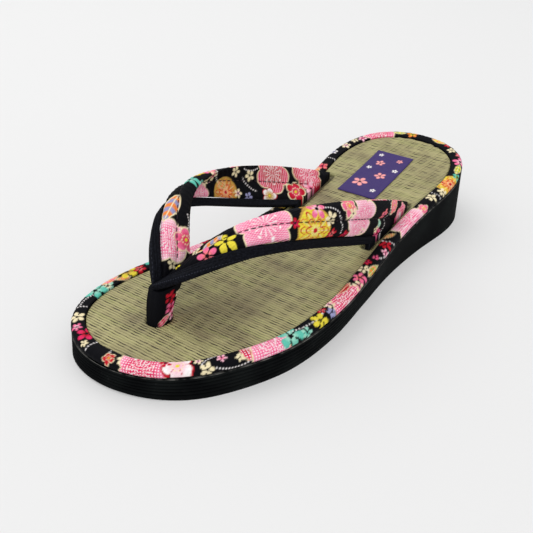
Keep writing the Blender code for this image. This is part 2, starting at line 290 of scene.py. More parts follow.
def outsole_surface():
    """Rings round the sole. From the middle line of the tread they spread to the rim, climb the wall with
    its draft, flare and rib grooves, and close again over the top to the middle line. The tread's grooves
    are a clipped cosine along the sole."""
    ring, outward = sole_rim(SOLE_STATIONS)
    spread = np.linspace(1, 0, TREAD_RINGS) ** 2
    climb = np.linspace(0, 1, WALL_RINGS)[1:-1]
    pinch = np.concatenate([spread, 0 * climb, np.linspace(0, 1, TOP_RINGS)])[:, None]
    height = np.concatenate([0 * spread, climb, np.ones(TOP_RINGS)])[:, None]
    near_end = np.clip((np.abs(share(ring[:, 1])) - FLARE_START) / (1 - FLARE_START), 0, 1)
    lean = WALL_DRAFT * through(SOLE_ROWS, 4, share(ring[:, 1])) - END_FLARE * near_end ** 2
    first, last = RIB_BAND
    phase = (height - first) / (last - first) * RIBS
    groove = smooth(1 - np.abs(phase % 1 - 0.5) / GROOVE_HALF) * ((phase > 0) & (phase < RIBS))
    ribbed = np.clip((RIB_END - share(ring[:, 1])) / RIB_FADE, 0, 1)
    inset = lean * (1 - height) + groove * RIB_DEPTH * ribbed
    x = ring[:, 0] - outward[:, 0] * inset
    y = ring[:, 1] - outward[:, 1] * inset
    x = x + (middle_line(y) - x) * pinch
    spring = np.clip((-share(y) - TOE_SPRING_START) / (1 - TOE_SPRING_START), 0, 1)
    base = TOE_SPRING * spring ** 2
    under = (height == 0) * smooth(pinch * TREAD_EASE)
    wave = np.cos(2 * math.pi * y / TREAD_PITCH)
    tread = under * TREAD_DEPTH * smooth(0.5 - TREAD_STEEPNESS * wave)
    z = base + tread + height * (wall_top(y) - base)
    paint = np.zeros(x.shape + (4,))
    paint[...] = (smooth((height - LIP_START) / 0.02) * (pinch == 0))[..., None]
    return np.stack([x, y, z], -1), paint


sole_points, sole_paint = outsole_surface()
outsole = make_piece("outsole_foam", sole_points, paint=sole_paint, sharp=60)
foam, shader, wire, place = new_material("black_foam", 0.8, gloss=0.03)
edge = wire.make("ShaderNodeAttribute", "Fac", {"attribute_name": "paint"}, {})
cloud = wire.noise(place, 60.0, 4.0)
grain = wire.noise(place, 1400.0, 2.0)
dust = wire.noise(place, 420.0, 3.0).between(0.66, 0.78)
worn = cloud.between(0.35, 0.75).blend(FOAM_BLACK, FOAM_WORN)
dusty = (dust * 0.25).blend(worn, DUST)
glued = (edge * wire.noise(place, 260.0, 2.0).between(0.30, 0.75) * 0.45).blend(dusty, GLUE_LINE)
feed(shader, Base_Color=glued, Roughness=cloud * 0.2 + 0.7, Normal=wire.bump(grain, 0.25, 0.0002))
dress(outsole, foam, "outsole")

# Border: a strip of printed cotton crepe rolled over the edge of the footbed board and glued under it.
# Its ground is black, with blossoms, tie-dyed scallops, cords and thread balls in pinks, reds and gold.
BORDER_WIDTH = 0.0061
BORDER_RISE = 0.0040
BORDER_STATIONS = 880
PUCKER = 0.00012
PUCKER_RATES = (1250, 410, 2300)
PROFILE_STEPS = 30

# Shares of the border's width and rise round its cross-section. Columns: step, inwards, up
BORDER_PROFILE = (
    (0, 0.09, 0.00), (1, 0.00, 0.25), (2, 0.01, 0.56), (3, 0.14, 0.86),
    (4, 0.42, 1.00), (5, 0.78, 0.97), (6, 1.00, 0.84), (7, 1.00, 0.00),
)

# The print's inks
BLACK = (0.0024, 0.0026, 0.0042)
PINK = (0.82, 0.150, 0.300)
PALE = (0.91, 0.500, 0.600)
SHELL = (0.87, 0.270, 0.420)
ROSE = (0.68, 0.024, 0.110)
RED = (0.50, 0.010, 0.024)
CORAL = (0.83, 0.190, 0.190)
CREAM = (0.83, 0.720, 0.460)
WHITE = (0.90, 0.850, 0.840)
YELLOW = (0.74, 0.620, 0.050)
GOLD = (0.51, 0.300, 0.061)
ORANGE = (0.79, 0.230, 0.050)
TURQUOISE = (0.11, 0.510, 0.400)
MINT = (0.32, 0.640, 0.510)
LAVENDER = (0.30, 0.300, 0.510)
GREEN = (0.27, 0.400, 0.050)

# Beads of the printed cords, in mm
BEAD_STEP = 1.3
BEAD_RADIUS = 0.34


class Print:
    """Printed cloth of one piece: a colour for every point of its grid, painted motif by motif.

    The fourth channel says where the print is dotted, as tie-dyed cloth is. A motif is drawn flat on
    the cloth round its centre, with x along the piece, in units of its own radius.
    """

    def __init__(self, points, ground=BLACK):
        self.points = points * 1000
        along, across = np.gradient(self.points, axis=0), np.gradient(self.points, axis=1)
        self.along = unit(along)
        self.normal = unit(np.cross(along, across))
        self.colour = np.broadcast_to((*ground, 0.0), points.shape[:2] + (4,)).copy()

    def lay(self, centre, radius, turn):
        """Flat coordinates round a centre, and which points face the same way as it does. The cloth's
        direction there is averaged over its surroundings, so a channel under the motif doesn't tilt it."""
        row, column = centre
        rows, columns = 3 + self.points.shape[0] // 200, 1 + self.points.shape[1] // 14
        around = self.normal[max(row - rows, 0):row + rows + 1]
        around = around[:, max(column - columns, 0):column + columns + 1]
        normal, run = unit(around.mean((0, 1))), self.along[centre]
        run = unit(run - normal * (run @ normal))
        away = (self.points - self.points[centre]) / radius
        angle = math.radians(turn)
        x, y = away @ run, away @ np.cross(normal, run)
        self.facing = smooth((self.normal @ normal + 0.25) / 0.25) * (np.abs(away @ normal) < 1.2)
        self.radius, self.soft = radius, 0.36 / radius
        self.x = x * math.cos(angle) + y * math.sin(angle)
        self.y = y * math.cos(angle) - x * math.sin(angle)
        self.r, self.angle = np.hypot(self.x, self.y), np.arctan2(self.y, self.x)

    def within(self, distance):
        """1 inside a shape whose signed distance is below 0, fading out over about 0.3 mm."""
        return np.clip(0.5 - distance / self.soft, 0, 1) * self.facing

    def ink(self, mask, colour):
        """Lays one ink, or a colour for every point, over the print where the mask is 1."""
        mask = mask[..., None]
        ink = np.broadcast_to((*colour, 0.0) if isinstance(colour, tuple) else colour, self.colour.shape)
        self.colour = self.colour * (1 - mask) + ink * mask

    def shade(self, inner, outer, middle, dotted=0.0):
        """Colour that goes from one ink at the centre to another at the rim."""
        mix = smooth((self.r - middle) / 0.5)[..., None]
        return np.array((*inner, dotted)) * (1 - mix) + np.array((*outer, dotted)) * mix

    def blossom(self, outer, inner):
        """Five rounded petals with a line round them, a notch between them and a dotted heart."""
        line = RED if outer == WHITE else CREAM
        petal = np.abs(np.cos(2.5 * self.angle))
        rim = 0.60 + 0.40 * petal ** 0.55
        self.ink(self.within(self.r - rim), line)
        self.ink(self.within(self.r - rim + 0.11), self.shade(inner, outer, 0.25))
        self.ink(self.within(petal * self.r - 0.035) * (self.r > 0.3) * (self.r < rim), line)
        beads = np.hypot(self.r - 0.34, self.r * np.abs((self.angle * 10 / math.pi) % 2 - 1) * 0.32)
        self.ink(self.within(beads - 0.06), CREAM)
        self.ink(self.within(self.r - 0.13), YELLOW)

    def petals(self, outer, inner):
        """Five separate petals round a dark heart."""
        petal = np.abs(np.cos(2.5 * self.angle))
        rim = 0.25 + 0.75 * petal ** 0.7
        body = self.within(self.r - rim) * smooth((petal - 0.30) / 0.12)
        self.ink(body, self.shade(inner, outer, 0.2))
        self.ink(self.within(self.r - 0.20), BLACK)

    def scallop(self, outer, inner):
        """Large round tie-dyed flower with a scalloped rim and a burst of fine rays at its heart."""
        rim = 0.76 + 0.24 * np.abs(np.cos(2.5 * self.angle)) ** 0.6
        self.ink(self.within(self.r - rim), CREAM)
        self.ink(self.within(self.r - rim + 0.05), self.shade(inner, outer, 0.42, dotted=1.0))
        rays = smooth((np.cos(14 * self.angle) - 0.35) / 0.5) * (self.r > 0.07)
        self.ink(self.within(self.r - 0.45) * rays * 0.85, WHITE)
        beads = np.hypot(self.r - 0.52, self.r * np.abs((self.angle * 7 / math.pi) % 2 - 1) * 0.22)
        self.ink(self.within(beads - 0.035), WHITE)

    def ball(self, outer, inner):
        """Thread ball: a disc with a six-pointed star of bowed threads over fine spokes."""
        self.ink(self.within(self.r - 1.0), GOLD)
        self.ink(self.within(self.r - 0.93), self.shade(inner, outer, 0.3))
        disc = self.r < 0.90
        self.ink(self.within(self.r * np.abs(np.sin(6 * self.angle)) / 6 - 0.018) * disc * 0.7, CREAM)
        for reach, first, ink in ((0.55, 0.0, RED), (0.55, math.pi / 2, ORANGE), (0.25, 0.0, RED)):
            star = 0.30 + reach * np.abs(np.cos(3 * self.angle + first)) ** 1.5
            self.ink(self.within(np.abs(self.r - star) - 0.035) * disc, ink)
        self.ink(self.within(self.r - 0.12), RED)

    def leaf(self, outer, inner):
        """Long pointed leaf with slanting stripes of both inks."""
        half = 0.36 * (1 - self.x ** 2)
        edge = np.abs(self.y) - half
        self.ink(self.within(edge) * (np.abs(self.x) < 1), CREAM)
        stripe = smooth(np.sin(11 * self.x + 7 * np.abs(self.y)) * 2 + 0.5)[..., None]
        colour = np.array((*inner, 0.0)) * (1 - stripe) + np.array((*outer, 0.0)) * stripe
        self.ink(self.within(edge + 0.06) * (np.abs(self.x) < 0.94), colour)
        self.ink(self.within(np.abs(self.y) - 0.025) * (np.abs(self.x) < 0.8), CREAM)

    def cord(self, outer, _):
        """Bowed string of small beads."""
        apart, bead = BEAD_STEP / self.radius, BEAD_RADIUS / self.radius
        along = np.abs((self.x / apart) % 1 - 0.5) * apart
        off = self.y - 0.22 * (1 - self.x ** 2)
        self.ink(self.within(np.hypot(along, off) - bead) * (np.abs(self.x) < 1), outer)

    def stamp(self, kind, centre, radius, turn, outer, inner):
        """Prints one motif round a grid point."""
        self.lay(centre, radius, turn)
        getattr(self, kind)(outer, inner)


def border_surface():
    """The profile carried round the rim: each ring lies a share of the border's width inside the rim and
    a share of its rise above the wall, with faint puckers where the cloth turns the curve."""
    ring, outward = sole_rim(BORDER_STATIONS // 2)
    run = np.linalg.norm(np.roll(ring, -1, 0) - ring, axis=1)
    length = np.concatenate([[0], np.cumsum(run)])
    step = np.linspace(0, 7, PROFILE_STEPS)[:, None]
    inwards = np.clip(through(BORDER_PROFILE, 1, step), 0, 1) * BORDER_WIDTH
    up = np.clip(through(BORDER_PROFILE, 2, step), 0, 1)
    first, second, third = (np.sin(length[:-1] * rate) for rate in PUCKER_RATES)
    wave = first * second + 0.5 * third
    inwards = inwards + PUCKER * wave * smooth(up) * (step < 5)
    x = ring[:, 0] - outward[:, 0] * inwards
    y = ring[:, 1] - outward[:, 1] * inwards
    z = wall_top(y) + GAP + up * (BORDER_RISE - GAP)
    points = np.stack([x, y, z], -1)
    over = np.concatenate([[0], np.cumsum(np.linalg.norm(np.diff(points[:, 0], axis=0), axis=1))])
    over = np.append(over, over[-1] + BORDER_WIDTH)
    cloth_map = np.stack(np.broadcast_arrays(length[None, :], over[:, None]), -1) * 1000
    return points, cloth_map, length * 1000


border_points, border_map, border_length = border_surface()
border_print = Print(border_points)

# Motifs on the border. Columns: motif, mm from the toe's tip (the outer side of the foot first, the
# inner side as a negative), step round the profile, radius in mm, turn, outer ink, inner ink
BORDER_MOTIFS = (
    ("cord", 4, 4.3, 6.0, 70, WHITE, WHITE),
    ("blossom", 4, 3.6, 2.9, 10, RED, RED),
    ("petals", 10, 4.4, 2.6, 40, CREAM, CREAM),
    ("scallop", 19, 2.6, 10.5, 0, SHELL, ROSE),
    ("blossom", 34, 4.4, 6.8, 25, WHITE, PALE),
    ("petals", 46, 2.4, 3.0, 0, CREAM, CREAM),
    ("cord", 57, 2.4, 7.5, 0, WHITE, WHITE),
    ("petals", 53, 4.6, 2.2, 20, PALE, PINK),
    ("scallop", 66, 5.2, 6.0, 0, ROSE, RED),
    ("scallop", 74, 2.2, 9.5, 30, SHELL, PINK),
    ("petals", 84, 4.0, 6.0, 15, TURQUOISE, MINT),
    ("cord", 96, 5.2, 11.0, 5, WHITE, WHITE),
    ("petals", 101, 3.4, 4.2, 30, YELLOW, YELLOW),
    ("petals", 109, 3.2, 2.6, 0, LAVENDER, LAVENDER),
    ("scallop", 121, 2.8, 11.0, 15, PINK, ROSE),
    ("leaf", 126, 5.2, 5.5, 5, RED, RED),
    ("petals", 137, 4.0, 3.6, 60, PINK, CORAL),
    ("petals", 144, 4.6, 3.0, 10, CREAM, CREAM),
    ("leaf", 146, 2.2, 5.5, 0, GREEN, ORANGE),
    ("petals", 155, 4.2, 1.8, 0, PINK, ROSE),
    ("petals", 167, 4.2, 3.2, 30, RED, RED),
    ("cord", 172, 3.0, 6.0, 60, WHITE, WHITE),
    ("scallop", 191, 2.8, 13.5, 0, PALE, PINK),
    ("petals", 217, 4.2, 3.0, 10, CREAM, CREAM),
    ("cord", 222, 3.4, 4.5, 80, WHITE, WHITE),
    ("ball", 234, 3.2, 7.5, 30, YELLOW, ORANGE),
    ("leaf", 249, 3.6, 5.0, 0, GREEN, YELLOW),
    ("petals", 257, 3.4, 4.0, 0, PINK, PALE),
    ("petals", 270, 4.0, 2.6, 20, CREAM, CREAM),
    ("leaf", 283, 3.8, 5.0, 0, ORANGE, YELLOW),
    ("petals", 29, 5.4, 2.6, 30, RED, ROSE),
    ("petals", 43, 5.0, 2.0, 10, CREAM, PALE),
    ("cord", 47, 4.6, 4.0, 150, WHITE, WHITE),
    ("petals", 60, 3.6, 2.0, 45, CREAM, CREAM),
    ("petals", 92, 2.6, 2.6, 10, MINT, TURQUOISE),
    ("petals", 106, 5.2, 2.2, 30, RED, CORAL),
    ("petals", 112, 5.0, 2.8, 60, CREAM, PALE),
    ("petals", 132, 2.6, 3.0, 20, CREAM, PINK),
    ("petals", 150, 5.0, 2.4, 10, RED, ROSE),
    ("cord", 160, 2.8, 6.0, 10, WHITE, WHITE),
    ("petals", 162, 2.6, 2.2, 40, PALE, PINK),
    ("leaf", 175, 4.8, 4.0, 30, GOLD, ORANGE),
    ("blossom", 206, 3.2, 3.2, 0, PINK, CORAL),
    ("petals", 225, 2.8, 2.8, 30, CREAM, CREAM),
    ("petals", 242, 2.6, 2.6, 0, TURQUOISE, GREEN),
    ("petals", 264, 3.0, 2.2, 30, CORAL, PINK),
    ("petals", 276, 3.4, 2.2, 0, RED, CORAL),
    ("petals", -12, 3.4, 1.8, 30, CREAM, CREAM),
    ("petals", -24, 3.8, 2.4, 10, PINK, PALE),
    ("cord", -44, 4.4, 4.5, 10, WHITE, WHITE),
    ("petals", -58, 4.8, 3.2, 30, MINT, CREAM),
    ("leaf", -67, 5.0, 3.6, 20, ORANGE, GOLD),
    ("petals", -94, 4.2, 2.6, 10, CREAM, PINK),
    ("petals", -113, 3.4, 2.8, 50, RED, ROSE),
    ("cord", -127, 4.2, 4.5, 10, WHITE, WHITE),
    ("petals", -144, 4.6, 2.6, 20, YELLOW, GOLD),
    ("petals", -157, 3.0, 2.2, 0, CREAM, CREAM),
    ("petals", -175, 4.4, 2.8, 30, RED, CORAL),
    ("scallop", -190, 3.4, 8.0, 0, SHELL, PINK),
    ("petals", -208, 4.0, 3.4, 0, CORAL, ROSE),
    ("petals", -225, 3.4, 2.4, 20, WHITE, LAVENDER),
    ("petals", -248, 4.6, 2.6, 0, PALE, PINK),
    ("cord", -7, 4.4, 6.5, 100, WHITE, WHITE),
    ("petals", -17, 5.0, 4.2, 0, ROSE, RED),
    ("petals", -31, 4.0, 3.4, 20, CREAM, CREAM),
    ("cord", -38, 3.8, 3.5, 70, WHITE, WHITE),
    ("petals", -52, 3.8, 5.5, 10, TURQUOISE, MINT),
    ("leaf", -62, 3.6, 5.0, 0, ORANGE, PINK),
    ("petals", -71, 3.6, 5.0, 30, YELLOW, GOLD),
    ("petals", -77, 4.6, 3.0, 0, RED, CORAL),
    ("petals", -86, 3.8, 4.5, 0, TURQUOISE, MINT),
    ("scallop", -103, 3.2, 9.0, 0, PALE, PINK),
    ("petals", -120, 4.2, 3.2, 15, CREAM, CREAM),
    ("blossom", -136, 3.4, 6.0, 0, RED, ROSE),
    ("cord", -150, 3.6, 7.0, 0, WHITE, WHITE),
    ("ball", -166, 3.2, 7.0, 0, YELLOW, GOLD),
    ("petals", -182, 4.0, 3.4, 40, PINK, PINK),
    ("leaf", -200, 3.6, 7.0, 0, ORANGE, CORAL),
    ("cord", -217, 4.0, 3.5, 80, WHITE, WHITE),
    ("petals", -235, 4.4, 2.8, 0, CREAM, PALE),
    ("petals", -243, 4.0, 2.2, 25, CREAM, CREAM),
    ("scallop", -260, 3.6, 9.5, 0, PINK, ROSE),
    ("leaf", -273, 4.0, 4.0, 0, YELLOW, GREEN),
    ("petals", -281, 4.2, 3.2, 0, ORANGE, YELLOW),
)
for kind, along, step, radius, turn, outer, inner in BORDER_MOTIFS:
    column = np.argmin(np.abs(border_length[:-1] - along % border_length[-1]))
    row = int(round(step / 7 * (len(border_points) - 1)))
    border_print.stamp(kind, (row, column), radius, turn + 90, outer, inner)


# Tie-dyed dots, in mm apart, the cloth's own colour in them, and the painted shade of its creases
DOT_STEP = 1.2
UNDYED = (0.96, 0.84, 0.89)
CREASE_SHADE = (0.006, 0.004, 0.006)


def crepe_material(name):
    """Matt printed crepe: the print, white dots where it is tie-dyed, and the cloth's fine crinkle, with
    painted shade in its creases.
    """
    material, shader, wire, place = new_material(name, 0.72, gloss=0.06)
    paint = wire.make("ShaderNodeAttribute", "Color", {"attribute_name": "paint"}, {})
    cloth = wire.make("ShaderNodeUVMap", "UV", {"uv_map": "cloth"}, {})
    parts = wire.make("ShaderNodeSeparateXYZ", "X", {}, {"Vector": cloth})
    turns = 2 * math.pi / DOT_STEP
    dots = wire.sum("SINE", parts * turns) + wire.sum("SINE", parts.other("Y") * turns)
    dotted = dots.between(0.1, 1.4) * paint.other("Alpha").between(0.6, 0.95) * 0.78
    crinkle = wire.noise(place, 1500.0, 3.0)
    weave = wire.sum("SINE", parts * 24.0) * wire.sum("SINE", parts.other("Y") * 24.0)
    printed = dotted.blend(paint, UNDYED)
    # Painted shade: the print is darkened a little in the crinkle of the cloth, following the same noise as
    # its bump.
    tone = (crinkle.between(0.35, 0.75) * 0.16).blend(printed, CREASE_SHADE)
    feed(shader, Base_Color=tone, Roughness=crinkle * 0.25 + 0.6,
         Normal=wire.bump(crinkle + weave * 0.08, 0.35, 0.00015))
    return material


crepe = crepe_material("printed_crepe")
border = make_piece("border_cloth", border_points, border_map, border_print.colour, loop_rows=True)
dress(border, crepe, "border_wrap")

# Mat: rush straws laid across the foot and woven over cotton warps that run along it. Every second
# straw dives under each warp, which leaves short openings in rows from toe to heel; their dark, and the
# dark between the straws, is painted shade. The straws part round each leg's slot and round the toe post.
MAT_THICKNESS = 0.0028
STRAW_PITCH = 0.00135
STRAW_SAMPLES = 6
STRAW_RELIEF = 0.00028
WARP_PITCH = 0.0062
WARP_HALF = 0.0013
DIVE_DEPTH = 0.00022
MAT_COLUMNS = 78
MAT_EDGE = 0.0006
STRAW_SINK = 0.0003
STRAW_BULGE = 0.00012
STRAW = (0.410, 0.375, 0.175)
STRAW_GREEN = (0.290, 0.295, 0.105)
STRAW_BROWN = (0.150, 0.112, 0.066)
STRAW_PALE = (0.52, 0.48, 0.26)
GAP_SHADE = (0.032, 0.023, 0.013)
SLOT_HALF = 0.0023
SLOT_DEPTH = 0.0016
SLOT_SOFT = 0.0006
SLOT_SHADE = 0.7
SLOT_EDGE = 0.0020
BAND_THICKNESS = 0.0036
POST_DEPTH = 0.0107
POST_SETBACK = 0.25
POST_ROOM = 0.0022
HALF_BALL = BALL_WIDTH / 2

# Where each leg enters the mat, on the outer side of the foot and on the inner side: the places of its
# outer and inner edges as shares of the half length
SEATS = {1: (0.073, 0.441), -1: (0.159, 0.479)}

# Where the legs meet over the post: across as a share of half the ball width, along as a share of the
# half length, height over the mat as a share of the strap's rise
APEX_OUTER = (-0.230, -0.753, 0.375)
APEX_INNER = (-0.202, -0.566, 0.336)
rng = np.random.default_rng(11)


def drift(position, seed_row, cells):
    """Smooth random line: a row of random values at whole numbers, eased between them and repeated."""
    low = np.floor(position).astype(int) % cells
    return seed_row[low] + (seed_row[(low + 1) % cells] - seed_row[low]) * smooth(position % 1)


def mat_top(y):
    """Height of the mat's upper side at a place along the sole."""
    return wall_top(y) + GAP + MAT_THICKNESS


def mat_surface():
    """A loop across the foot at each place along it: over the straws from the inner side to the outer and
    back along the flat underside. Straw height is a half wave along the foot, less its dives."""
    ring, outward = sole_rim(SOLE_STATIONS)
    rim = ring - outward * (BORDER_WIDTH + GAP)
    outer, inner = rim[:SOLE_STATIONS + 1], np.vstack([rim[:1], rim[:SOLE_STATIONS - 1:-1]])
    ends = outer[[0, -1], 1]
    y = np.arange(ends[0], ends[1], STRAW_PITCH / STRAW_SAMPLES)
    y = np.append(y, ends[1])[:, None]
    x_outer = np.interp(y[:, 0], outer[:, 1], outer[:, 0])[:, None]
    x_inner = np.interp(y[:, 0], inner[:, 1], inner[:, 0])[:, None]
    across = np.linspace(0, 1, MAT_COLUMNS)[None, :]
    x = x_inner + (x_outer - x_inner) * across
    straw = y / STRAW_PITCH
    number = np.floor(straw).astype(int)
    crest = np.abs(np.sin(math.pi * straw)) ** 0.7
    warp = x / WARP_PITCH
    near_warp = np.exp(-((warp - np.round(warp)) * WARP_PITCH / WARP_HALF) ** 2)
    dives = (number + np.round(warp).astype(int)) % 2
    patchy = drift(straw / 7 + np.round(warp) * 2.7, rng.uniform(0.15, 1.0, 97), 97)
    dive = near_warp * dives * patchy
    edge = smooth(np.minimum(across, 1 - across) * (x_outer - x_inner) / MAT_EDGE)
    bulge = STRAW_BULGE * (1 - near_warp)
    top = mat_top(y) - STRAW_SINK + edge * (STRAW_RELIEF * crest + bulge - DIVE_DEPTH * dive)
    tone = drift(number.astype(float) * 0.83 + 0.5, rng.uniform(-1, 1, 61), 61)
    tone = tone + 0.5 * drift(number * 0.37 + np.round(warp) * 5.1 + 0.5, rng.uniform(-1, 1, 83), 83)
    colour = np.array(STRAW) * np.ones(x.shape + (3,))
    colour = colour + (np.array(STRAW_GREEN) - STRAW) * np.clip(tone, 0, 1)[..., None] * 0.5
    colour = colour + (np.array(STRAW_BROWN) - STRAW) * np.clip(-tone, 0, 1)[..., None] * 0.35
    # Painted shade: the straws are darkened in the troughs between them and a little where they dive under
    # a warp.
    trough_shade = (1 - 0.15 * (1 - crest)) * (1 - 0.06 * dive)
    colour = colour * trough_shade[..., None]
    keep = np.round(np.linspace(MAT_COLUMNS - 1, 0, 6)).astype(int)
    under = wall_top(y) + GAP + 0 * x[:, keep]
    x = np.hstack([x, x[:, keep]])
    points = np.stack([x, y + 0 * x, np.hstack([top, under])], -1)
    paint = np.ones(points.shape[:2] + (4,))
    paint[:, :MAT_COLUMNS, :3] = colour
    paint[:, MAT_COLUMNS:, :3] = STRAW_BROWN
    return points, paint


def seat(side, along):
    """Plan place of one edge of a leg in the mat, a slot edge and half a band inside the mat's rim."""
    s = np.array([along])
    half = through(SOLE_ROWS, 2, s) * np.sqrt(1 - s ** HEEL_ROUNDNESS)
    rim = BALL_WIDTH * (through(SOLE_ROWS, 1, s) + side * half)
    inwards = BORDER_WIDTH + 2 * GAP + SLOT_EDGE + BAND_THICKNESS / 2
    return float(rim[0]) - side * inwards, along * HALF_LENGTH


post_front, post_rear = (
    np.array((across * HALF_BALL, along * HALF_LENGTH)) for across, along, _ in (APEX_OUTER, APEX_INNER)
)
post_run = unit(post_rear - post_front)


def near_line(points, first, last):
    """Distance in plan from every point to the straight line between two places."""
    first, last = np.array(first), np.array(last)
    run = last - first
    along = np.clip(((points[..., :2] - first) @ run) / (run @ run), 0, 1)
    return np.linalg.norm(points[..., :2] - first - along[..., None] * run, axis=-1)


mat_points, mat_paint = mat_surface()
slots = [near_line(mat_points, *(seat(side, along) for along in SEATS[side])) for side in (1, -1)]
post_foot = post_front + post_run * POST_DEPTH * (0.5 - POST_SETBACK)
slots.append(near_line(mat_points, post_foot - post_run * 0.001, post_foot + post_run * 0.001) - POST_ROOM)
pressed = smooth((SLOT_HALF + SLOT_SOFT - np.min(slots, axis=0)) / SLOT_SOFT)
pressed[:, MAT_COLUMNS:] = 0
mat_points[..., 2] -= SLOT_DEPTH * pressed
mat_paint[..., :3] *= (1 - SLOT_SHADE * pressed)[..., None]
mat = make_piece("rush_weave", mat_points, paint=mat_paint, sharp=75)
rush, shader, wire, place = new_material("woven_rush", 0.55, gloss=0.3)
paint = wire.make("ShaderNodeAttribute", "Color", {"attribute_name": "paint"}, {})
stretched = wire.make("ShaderNodeMapping", 0, {}, {"Vector": place, "Scale": (0.12, 1.0, 1.0)})
fibre = wire.noise(stretched, 2600.0, 3.0)
stain = wire.noise(place, 45.0, 3.0)
parts = wire.make("ShaderNodeSeparateXYZ", "X", {}, {"Vector": place})
wander = (wire.noise(stretched, 300.0, 2.0) - 0.5) * 1.6
straws = wire.sum("COSINE", parts.other("Y") * (2 * math.pi / STRAW_PITCH) + wander * 3.0)
warps = wire.sum("COSINE", parts * (2 * math.pi / WARP_PITCH) + wander * 3.0)
short = wire.make("ShaderNodeMapping", 0, {}, {"Vector": place, "Scale": (0.11, 1.0, 1.0)})
loose = wire.noise(short, 560.0, 2.0).between(0.34, 0.56)
bands = wire.noise(place, 80.0, 2.0).between(0.36, 0.60) * 0.5 + 0.5
# Painted shade: dark brown lines between the straws, strongest beside the warps and in loose patches.
slit = straws.between(0.20, 1.0) * (warps.between(-0.9, 0.1) * loose * bands * 0.75 + loose * 0.35 + 0.22)
shaded = (fibre.between(0.55, 0.85) * 0.40).blend(paint, STRAW_PALE)
aged = (stain.between(0.40, 0.75) * 0.60).blend(shaded, STRAW_BROWN)
feed(shader, Base_Color=slit.blend(aged, GAP_SHADE), Roughness=fibre * 0.3 + 0.42,
     Normal=wire.bump(fibre * 0.5 - slit, 0.5, 0.0002))
dress(mat, rush, "rush_mat")

# Strap: a V of two padded legs in printed crepe over foam, each sewn through along its middle. The legs
# meet over the toe post and go down into slots in the mat beside the arch and the outer side.
STRAP_RISE = 0.045
STRAP_THICKNESS = 0.0050
CROWN = 0.0025
SEAT_RISE = 0.0018
TAIL_PINCH = 0.2
BAND_ROOM = 0.00025
LEG_STATIONS = 400
STRAP_ACROSS = 60
APEX_BLEND = 1 / 12
STITCH_STEP = 3.0
STITCH_BITE = 0.00045
FOLD_DEPTH = 0.00032
FOLD_START = 0.78
APEX_SAG = 0.0008
EASE = 0.0001

# Control rows of the strap's two edges, from the toe post towards the seat in the mat, set so that the
# edges lie where the photograph has them. Columns as for the apexes
LATERAL_OUTER = (
    APEX_OUTER,
    (0.222, -0.731, 0.605), (0.471, -0.599, 0.755), (0.594, -0.395, 0.628), (0.665, -0.165, 0.293),
)
LATERAL_INNER = (
    APEX_INNER,
    (0.125, -0.495, 0.933), (0.572, -0.337, 1.005), (0.850, -0.117, 0.814), (0.855, 0.151, 0.516),
)
MEDIAL_OUTER = (
    APEX_OUTER,
    (-0.482, -0.669, 0.751), (-0.788, -0.550, 0.837), (-0.884, -0.361, 0.580), (-0.711, -0.118, 0.208),
)
MEDIAL_INNER = (
    APEX_INNER,
    (-0.506, -0.445, 0.888), (-0.835, -0.276, 0.909), (-0.888, -0.052, 0.659), (-0.680, 0.212, 0.400),
)

# Where the black band ends and the cloth begins. Columns: place along the leg, share of the strap's
# width on the outer side of the foot, and on the inner side
BAND_SHARES = ((0.0, 0.26, 0.26), (0.3, 0.26, 0.21), (0.6, 0.25, 0.20), (1.0, 0.17, 0.16))

# Cloth section from the band to the inner edge: share of its width, half thickness above, below
PAD_ROWS = (
    (0.00, 0.22, 0.22), (0.05, 0.62, 0.42), (0.25, 1.00, 0.60), (0.43, 0.90, 0.60), (0.50, 0.70, 0.60),
    (0.57, 0.90, 0.60), (0.78, 1.00, 0.60), (0.94, 0.66, 0.44), (1.00, 0.20, 0.20),
)


def steered(rows, t):
    """Curve steered by control rows: neighbours are blended again and again until one point is left."""
    points = np.array(rows)[:, None, :] + np.zeros((1, len(t), 1))
    while len(points) > 1:
        points = points[:-1] * (1 - t)[:, None] + points[1:] * t[:, None]
    return points[0]


def edge_rows(rows, side, seat_share):
    """Control rows in metres, with the seat in the mat as the last."""
    y = np.array([along * HALF_LENGTH for _, along, _ in rows])
    made = [(row[0] * HALF_BALL, v, mat_top(v) + row[2] * STRAP_RISE) for row, v in zip(rows, y)]
    seat_x, seat_y = seat(side, seat_share)
    return made + [(seat_x, seat_y, float(mat_top(seat_y)) + SEAT_RISE)]


LEGS = {
    side: tuple(edge_rows(rows, side, seat_share) for rows, seat_share in zip(edges, SEATS[side]))
    for side, edges in ((1, (LATERAL_OUTER, LATERAL_INNER)), (-1, (MEDIAL_OUTER, MEDIAL_INNER)))
}


def leg_frame(side, t):
    """Both edges of one leg, its upward normal and its run. Near the apex the normal turns to the one
    that the two legs share."""
    outer, inner = (steered(rows, t) for rows in LEGS[side])
    ahead, behind = np.minimum(t + 0.02, 1.0), np.maximum(t - 0.02, 0.0)
    run = sum(steered(rows, ahead) - steered(rows, behind) for rows in LEGS[side])
    across = inner - outer
    normal = unit(np.cross(run, across) * side)
    first, second = np.array(LEGS[side][0][0]), np.array(LEGS[side][1][0])
    shared = unit(np.array([0.0, first[2] - second[2], second[1] - first[1]]))
    mix = np.clip(t / APEX_BLEND, 0, 1)[:, None]
    return outer, inner, unit(shared * (1 - mix) + normal * mix), unit(run)


def strap_frame():
    """Frames of the whole strap from the outer leg's seat over the apex to the inner leg's."""
    t = np.linspace(0, 1, LEG_STATIONS + 1)
    parts = [leg_frame(1, t[::-1]), leg_frame(-1, t[1:])]
    joined = [np.vstack([parts[0][k], parts[1][k]]) for k in range(4)]
    reach = np.concatenate([t[::-1], t[1:]])
    lateral = np.arange(len(reach)) <= LEG_STATIONS
    return joined, reach, lateral


strap_edges, strap_reach, strap_lateral = strap_frame()
strap_band = np.where(strap_lateral, *(through(BAND_SHARES, column, strap_reach) for column in (1, 2)))


